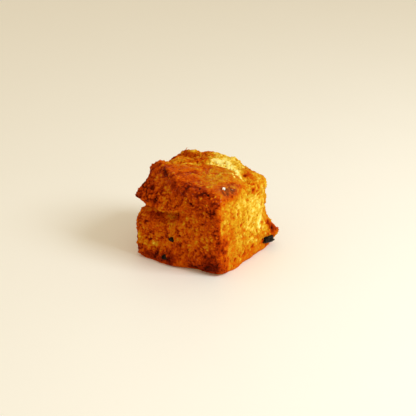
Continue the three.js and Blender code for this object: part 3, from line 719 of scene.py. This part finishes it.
def turned(point, x=0, y=0, z=0):
    """Points turned about X, then Y, then Z, by angles in radians."""
    for axis, angle in enumerate((x, y, z)):
        matrix = np.array(Matrix.Rotation(angle, 3, "XYZ"[axis]))
        point = point @ matrix.T
    return point


def currant_form(centre, half, tilt, seed):
    """Ball made blocky by dividing by its 4th-power length, swollen and shrunk by broad noise, folded
    by fine creases along it and stretched."""
    ball = ball_grid(*CURRANT_GRID)
    ball = 0.94 * ball / (np.abs(ball) ** 4).sum(-1, keepdims=True) ** (1 / 4)
    folds = creases(ball * (1, 0.35, 1), 0.5, seed) - 0.3
    swelling = 1 + 0.24 * noise(ball, 0.9, seed) + 0.32 * folds
    return turned(ball * swelling[..., None] * half, x=tilt) + centre


def sugar_form():
    """Ball drawn out to a block with rounded edges: each point divided by its 8th-power length."""
    ball = ball_grid(*SUGAR_GRID)
    reach = (np.abs(ball) ** 8).sum(-1, keepdims=True) ** (1 / 8)
    block = ball / reach * np.array(SUGAR_GRAIN["size"]) / 2
    x, y, z = SUGAR_GRAIN["turn"]
    return turned(block, x, y, z) + SUGAR_GRAIN["at"]


def drawn_spots(weight, count, random):
    """Spots drawn without repeats, as likely as their weights."""
    return random.choice(len(weight), count, replace=False, p=weight / weight.sum())


def layers_at(skin, spots, corners, **changes):
    """Layers of the skin at the spots, changed, and repeated for every corner of what sits there."""
    taken = {name: values[spots] + changes.get(name, 0) for name, values in skin["layers"].items()}
    return {name: np.repeat(np.clip(values, -1, 1), corners) for name, values in taken.items()}


def loose_crumbs(skin, kind, count, smallest, largest, seed):
    """Crumbs half sunk in the skin: few-sided balls, dented by noise, stretched and turned about."""
    random = np.random.default_rng(seed)
    spots = drawn_spots(skin[kind], count, random)
    ball = close_poles(ball_grid(*CRUMB_GRID))[0]
    size = smallest + (largest - smallest) * random.random((count, 1, 1)) ** 2
    dents = 1 + 0.4 * noise(ball + 9 * random.random((count, 1, 3)), 0.8, seed)[..., None]
    crumb = ball * dents * random.uniform(0.5, 1.25, (count, 1, 3)) * size
    first, second = random.normal(size=(2, count, 3))
    second = np.cross(first, second)
    axes = np.stack([first, second, np.cross(first, second)], 1)
    axes /= np.linalg.norm(axes, axis=-1, keepdims=True)
    centre = skin["points"][spots, None] - 0.35 * size * skin["normals"][spots, None]
    crumb = crumb @ axes + centre
    crumb[..., 2] = np.maximum(crumb[..., 2], 0)
    tone = 0.05 * random.normal(size=count)
    layers = layers_at(skin, spots, len(ball), browning=tone, height=0.1)
    return crumb.reshape(-1, 3), repeated(ball_faces(CRUMB_GRID), len(ball), count), layers


def curled_flakes(skin, count, seed):
    """Thin flakes rooted in the skin: flat lenses whose free end lifts with the square of its reach."""
    random = np.random.default_rng(seed)
    spots = drawn_spots(skin["flakes"], count, random)
    ball = close_poles(ball_grid(*FLAKE_GRID))[0]
    length = random.uniform(0.7, 1.5, (count, 1))
    width = random.uniform(0.6, 1.2, (count, 1))
    ragged = 1 + 0.25 * noise(ball + 9 * random.random((count, 1, 3)), 0.7, seed)
    x = (ball[:, 0] + 0.7) * length
    y = ball[:, 1] * width * ragged
    lift = random.uniform(0, 0.12, (count, 1)) * x + random.uniform(-0.05, 0.03, (count, 1)) * x * np.abs(x)
    z = ball[:, 2] * FLAKE_HALF_THICKNESS + lift - 0.1
    normal = skin["normals"][spots]
    aim = np.cross(normal, random.normal(size=(count, 3)))
    aim /= np.linalg.norm(aim, axis=-1, keepdims=True)
    axes = np.stack([aim, np.cross(normal, aim), normal], 1)
    flake = np.stack([x, y, z], -1) @ axes + skin["points"][spots, None]
    tone = 0.08 * random.normal(size=count) + 0.05
    layers = layers_at(skin, spots, len(ball), browning=tone)
    return flake.reshape(-1, 3), repeated(ball_faces(FLAKE_GRID), len(ball), count), layers


# ---- Materials -----------------------------------------------------------------------------------


def link(tree, source, target):
    """Joins two sockets."""
    tree.links.new(source, target)


def math_node(tree, operation, first, second=None, clamp=False):
    """Math node on two values, each a number or a socket. Gives its output socket."""
    node = tree.nodes.new("ShaderNodeMath")
    node.operation = operation
    node.use_clamp = clamp
    for socket, value in zip(node.inputs, (first, second)):
        if value is None:
            continue
        if isinstance(value, bpy.types.NodeSocket):
            link(tree, value, socket)
        else:
            socket.default_value = value
    return node.outputs[0]


def noise_node(tree, place, size, detail=2.0, roughness=0.55):
    """Noise texture whose lumps are about size millimetres across. Gives its value socket."""
    node = tree.nodes.new("ShaderNodeTexNoise")
    node.inputs["Scale"].default_value = 1 / (size * MILLIMETRE)
    node.inputs["Detail"].default_value = detail
    node.inputs["Roughness"].default_value = roughness
    link(tree, place, node.inputs["Vector"])
    return node.outputs["Fac"]


def map_node(tree, value, low, high, to_low=0.0, to_high=1.0):
    """Map Range node, clamped. Gives its output socket."""
    node = tree.nodes.new("ShaderNodeMapRange")
    for label, number in zip(("From Min", "From Max", "To Min", "To Max"), (low, high, to_low, to_high)):
        node.inputs[label].default_value = number
    link(tree, value, node.inputs["Value"])
    return node.outputs["Result"]


def srgb(red, green, blue):
    """Linear colour for an sRGB one of 0 to 255."""
    share = np.array([red, green, blue]) / 255
    linear = np.where(share <= 0.04045, share / 12.92, ((share + 0.055) / 1.055) ** 2.4)
    return (*linear, 1)


BAKED_TONES = [   # browning, colour
    (0.00, (255, 238, 146)),
    (0.12, (246, 211, 88)),
    (0.25, (218, 166, 31)),
    (0.38, (203, 121, 11)),
    (0.50, (201, 86, 3)),
    (0.62, (173, 58, 2)),
    (0.74, (138, 37, 2)),
    (0.86, (96, 19, 1)),
    (1.00, (46, 7, 1)),
]
# grey-brown mixed into the rim patch by the sugar: painted sheen
SHEEN_GREY = (160, 106, 46)


def new_group(name, inputs, outputs):
    """Shader node group with named value and colour sockets. Gives the tree and its end nodes."""
    tree = bpy.data.node_groups.new(name, "ShaderNodeTree")
    for label, kind, default in inputs:
        socket = tree.interface.new_socket(label, in_out="INPUT", socket_type=kind)
        if default is not None:
            socket.default_value = default
    for label, kind in outputs:
        tree.interface.new_socket(label, in_out="OUTPUT", socket_type=kind)
    return tree, tree.nodes.new("NodeGroupInput"), tree.nodes.new("NodeGroupOutput")


def baked_colour_group():
    """Colour of baked dough: browning, unsettled by mottles, flecks and spots, read off the tones."""
    tree, start, end = new_group(
        "Baked colour",
        [("Place", "NodeSocketVector", None), ("Browning", "NodeSocketFloat", 0.5),
         ("Mottling", "NodeSocketFloat", 0.3), ("Flecks", "NodeSocketFloat", 0.2),
         ("Sheen grey", "NodeSocketFloat", 0.0)],
        [("Color", "NodeSocketColor"), ("Browned", "NodeSocketFloat")],
    )
    place = start.outputs["Place"]
    broad = math_node(tree, "SUBTRACT", noise_node(tree, place, 3.2, 3), 0.5)
    fine = math_node(tree, "SUBTRACT", noise_node(tree, place, 1.1, 3, 0.65), 0.5)
    broad = math_node(tree, "MULTIPLY", broad, 1.7)
    mottle = math_node(tree, "ADD", broad, math_node(tree, "MULTIPLY", fine, 1.5))
    mottle = math_node(tree, "MULTIPLY", mottle, start.outputs["Mottling"])
    pale = map_node(tree, noise_node(tree, place, 1.5, 2), 0.6, 0.72)
    dark = map_node(tree, noise_node(tree, place, 1.9, 2, 0.6), 0.36, 0.26)
    along = tree.nodes.new("ShaderNodeMapping")
    along.inputs["Scale"].default_value = (1, 1, 1.7)
    link(tree, place, along.inputs["Vector"])
    line = math_node(tree, "SUBTRACT", noise_node(tree, along.outputs[0], 3, 2), 0.5)
    line = math_node(tree, "ABSOLUTE", line)
    cracked = map_node(tree, noise_node(tree, place, 4, 1), 0.5, 0.6)
    cracks = math_node(tree, "MULTIPLY", map_node(tree, line, 0.022, 0.006), cracked)
    pale = math_node(tree, "MULTIPLY", pale, 0.5)
    specks = math_node(tree, "SUBTRACT", math_node(tree, "ADD", dark, cracks), pale)
    specks = math_node(tree, "MULTIPLY", specks, start.outputs["Flecks"])
    browned = math_node(tree, "ADD", start.outputs["Browning"], mottle)
    browned = math_node(tree, "ADD", browned, specks, clamp=True)
    ramp_node = tree.nodes.new("ShaderNodeValToRGB")
    stops = ramp_node.color_ramp.elements
    while len(stops) < len(BAKED_TONES):
        stops.new(0.5)
    for stop, (position, colour) in zip(stops, BAKED_TONES):
        stop.position = position
        stop.color = srgb(*colour)
    link(tree, browned, ramp_node.inputs["Fac"])
    # painted sheen: mixes the colour toward a grey-brown by the given share
    sheen_greyed = tree.nodes.new("ShaderNodeMix")
    sheen_greyed.data_type = "RGBA"
    sheen_greyed.inputs["B"].default_value = srgb(*SHEEN_GREY)
    link(tree, start.outputs["Sheen grey"], sheen_greyed.inputs["Factor"])
    link(tree, ramp_node.outputs["Color"], sheen_greyed.inputs["A"])
    link(tree, sheen_greyed.outputs["Result"], end.inputs["Color"])
    link(tree, browned, end.inputs["Browned"])
    return tree


def grain_group():
    """Height of fine grain: two sizes of noise."""
    tree, start, end = new_group(
        "Fine grain",
        [("Place", "NodeSocketVector", None)],
        [("Height", "NodeSocketFloat")],
    )
    place = start.outputs["Place"]
    coarse = math_node(tree, "MULTIPLY", noise_node(tree, place, 0.9, 3, 0.6), 0.7)
    fine = math_node(tree, "MULTIPLY", noise_node(tree, place, 0.35, 2, 0.6), 0.3)
    height = math_node(tree, "ADD", coarse, fine)
    link(tree, height, end.inputs["Height"])
    return tree


def use_group(tree, group):
    """Node that places a group in a material."""
    node = tree.nodes.new("ShaderNodeGroup")
    node.node_tree = group
    return node


def new_material(name):
    """Material with its tree, its Principled shader and the Object coordinates."""
    material = bpy.data.materials.new(name)
    material.use_nodes = True
    tree = material.node_tree
    shader = tree.nodes["Principled BSDF"]
    place = tree.nodes.new("ShaderNodeTexCoord").outputs["Object"]
    return material, tree, shader, place


def attribute_node(tree, name):
    """Value of a mesh's layer."""
    node = tree.nodes.new("ShaderNodeAttribute")
    node.attribute_name = name
    return node.outputs["Fac"]


def bump_node(tree, shader, height, distance, strength=1.0):
    """Bump of a height into the shader's normal."""
    node = tree.nodes.new("ShaderNodeBump")
    node.inputs["Distance"].default_value = distance * MILLIMETRE
    node.inputs["Strength"].default_value = strength
    link(tree, height, node.inputs["Height"])
    link(tree, node.outputs["Normal"], shader.inputs["Normal"])


def baked_material(name, colour_group, height_group):
    """Baked dough: colour by browning, with painted shade in the relief's hollows and paler crests as painted
    light, dull where torn and glossy where glazed.
    """
    material, tree, shader, place = new_material(name)
    colour = use_group(tree, colour_group)
    grain = use_group(tree, height_group)
    link(tree, place, colour.inputs["Place"])
    link(tree, place, grain.inputs["Place"])
    browning = attribute_node(tree, "browning")
    torn = attribute_node(tree, "torn")
    glaze = attribute_node(tree, "glaze")
    height = attribute_node(tree, "height")
    # painted shade: the relief's hollows are browned deeper, most where torn; its crests are made paler as
    # painted light
    hollow_shade = map_node(tree, height, -0.05, -0.6, 0.0, 0.28)
    hollow_shade = math_node(tree, "MULTIPLY", hollow_shade, map_node(tree, torn, 0, 1, 1, 1.1))
    crest = map_node(tree, height, 0.1, 0.7, 0.0, 0.1)
    tone = math_node(tree, "SUBTRACT", math_node(tree, "ADD", browning, hollow_shade), crest)
    link(tree, tone, colour.inputs["Browning"])
    smooth = math_node(tree, "MAXIMUM", glaze, torn)
    link(tree, map_node(tree, smooth, 0, 1, 0.34, 0.18), colour.inputs["Mottling"])
    link(tree, map_node(tree, torn, 0, 1, 0.16, 0.1), colour.inputs["Flecks"])
    # painted sheen: greys the colour over the darker browned patch by the sugar
    link(tree, map_node(tree, attribute_node(tree, "sheen_grey"), 0, 1, 0, 0.3), colour.inputs["Sheen grey"])
    link(tree, colour.outputs["Color"], shader.inputs["Base Color"])
    rough = map_node(tree, glaze, 0, 1, 0.8, 0.5)
    link(tree, rough, shader.inputs["Roughness"])
    sheen = map_node(tree, noise_node(tree, place, 1, 2), 0.62, 0.7)
    link(tree, math_node(tree, "MULTIPLY", sheen, glaze), shader.inputs["Coat Weight"])
    shader.inputs["Coat Roughness"].default_value = 0.12
    shader.inputs["Subsurface Weight"].default_value = 0.12
    shader.inputs["Subsurface Radius"].default_value = (1.0, 0.5, 0.2)
    shader.inputs["Subsurface Scale"].default_value = 1.2 * MILLIMETRE
    shader.inputs["Specular IOR Level"].default_value = 0.03
    shader.inputs["Specular Tint"].default_value = (1, 0.6, 0.25, 1)
    bump_node(tree, shader, grain.outputs["Height"], 0.5, 0.8)
    return material


def floor_material():
    """Pale, smooth, very slightly uneven tabletop."""
    material, tree, shader, place = new_material("pale_floor")
    shader.inputs["Base Color"].default_value = srgb(251, 250, 246)
    rough = map_node(tree, noise_node(tree, place, 60, 2), 0.3, 0.7, 0.45, 0.55)
    link(tree, rough, shader.inputs["Roughness"])
    return material


def currant_material():
    """Shrivelled dried fruit: nearly black, with paler brown patches that are partly its dusty coat and
    partly painted highlight.
    """
    material, tree, shader, place = new_material("dried_currant")
    # paler patches: partly the fruit's dusty coat, partly painted highlight
    bloom_and_highlight = map_node(tree, noise_node(tree, place, 1.6, 3, 0.65), 0.45, 0.7)
    blend = tree.nodes.new("ShaderNodeMix")
    blend.data_type = "RGBA"
    blend.inputs["A"].default_value = srgb(8, 4, 2)
    blend.inputs["B"].default_value = srgb(52, 40, 28)
    link(tree, bloom_and_highlight, blend.inputs["Factor"])
    link(tree, blend.outputs["Result"], shader.inputs["Base Color"])
    link(tree, map_node(tree, bloom_and_highlight, 0, 1, 0.3, 0.6), shader.inputs["Roughness"])
    shader.inputs["Specular IOR Level"].default_value = 0.05
    bump_node(tree, shader, noise_node(tree, place, 0.5, 3), 0.3, 0.6)
    return material


def sugar_material():
    """Clear white sugar that lets some light through."""
    material, tree, shader, place = new_material("sugar_grain")
    frost = map_node(tree, noise_node(tree, place, 0.6, 2), 0.3, 0.7, 0.12, 0.4)
    link(tree, frost, shader.inputs["Roughness"])
    shader.inputs["Base Color"].default_value = srgb(255, 250, 238)
    shader.inputs["Subsurface Weight"].default_value = 0.4
    shader.inputs["Subsurface Radius"].default_value = (1, 1, 1)
    shader.inputs["Subsurface Scale"].default_value = 0.8 * MILLIMETRE
    bump_node(tree, shader, noise_node(tree, place, 0.5, 2), 0.2, 0.5)
    return material


# ---- Floor and light -----------------------------------------------------------------------------

FLOOR_REACH = 4000
LIT_HEIGHT = 25                 # what the lamps face, about the scone's middle


def make_floor(material):
    """Wide flat floor under the scone."""
    corners = np.array([(-1, -1, 0), (1, -1, 0), (1, 1, 0), (-1, 1, 0)]) * FLOOR_REACH
    floor = mesh_piece("floor", material, corners, [np.array([[0, 1, 2, 3]])], smooth=False)


def area_light(name, direction, distance, size, watts, colour):
    """Square area light at a distance along a direction, facing the scone's middle."""
    data = bpy.data.lights.new(name, "AREA")
    data.size = size
    data.energy = watts
    data.color = colour
    lamp = bpy.data.objects.new(name, data)
    bpy.context.scene.collection.objects.link(lamp)
    towards = Vector(direction).normalized()
    lamp.location = towards * distance + Vector((0, 0, LIT_HEIGHT * MILLIMETRE))
    lamp.rotation_euler = towards.to_track_quat("Z", "Y").to_euler()


def make_lights():
    """Key from the right, fill from the front left, and an even pale surround."""
    area_light("key", (0.80, 0.10, 0.62), 0.8, 0.35, 4.3, (0.87, 0.95, 1.0))
    area_light("fill", (-0.35, -0.9, 0.5), 1.0, 0.7, 0.2, (1.0, 0.93, 0.8))
    world = bpy.data.worlds.new("surround")
    world.use_nodes = True
    background = world.node_tree.nodes["Background"]
    background.inputs["Color"].default_value = (1.0, 0.85, 0.6, 1)
    background.inputs["Strength"].default_value = 0.7
    bpy.context.scene.world = world


# ---- Putting it together ---------------------------------------------------------------------------

bpy.context.scene.view_settings.view_transform = "Standard"

make_floor(floor_material())
make_lights()

baked_colour = baked_colour_group()
fine_grain = grain_group()

crust = baked_material("baked_crust", baked_colour, fine_grain)
dried_fruit = currant_material()


def settle(piece, slot, *replaced):
    """Fixes a piece to the scone and hides the solids that it stands for. The slot is not used."""
    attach(piece, "root")
    if replaced:
        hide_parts(*replaced)


skin = scone_skin()
settle(mesh_piece("scone_skin", crust, skin["points"], skin["faces"], skin["layers"]), "crust", "scone")
for name, crumbs in CRUMBS.items():
    settle(mesh_piece(name, crust, *loose_crumbs(skin, *crumbs)), "crust")
settle(mesh_piece("crust_flakes", crust, *curled_flakes(skin, FLAKE_COUNT, FLAKE_SEED)), "crust")
for name, currant in CURRANTS.items():
    points = close_poles(currant_form(*currant))[0]
    settle(mesh_piece(name + "_fruit", dried_fruit, points, ball_faces(CURRANT_GRID)), "currant", name)
grain = close_poles(sugar_form())[0]
settle(mesh_piece("sugar_grain", sugar_material(), grain, ball_faces(SUGAR_GRID)), "crust")
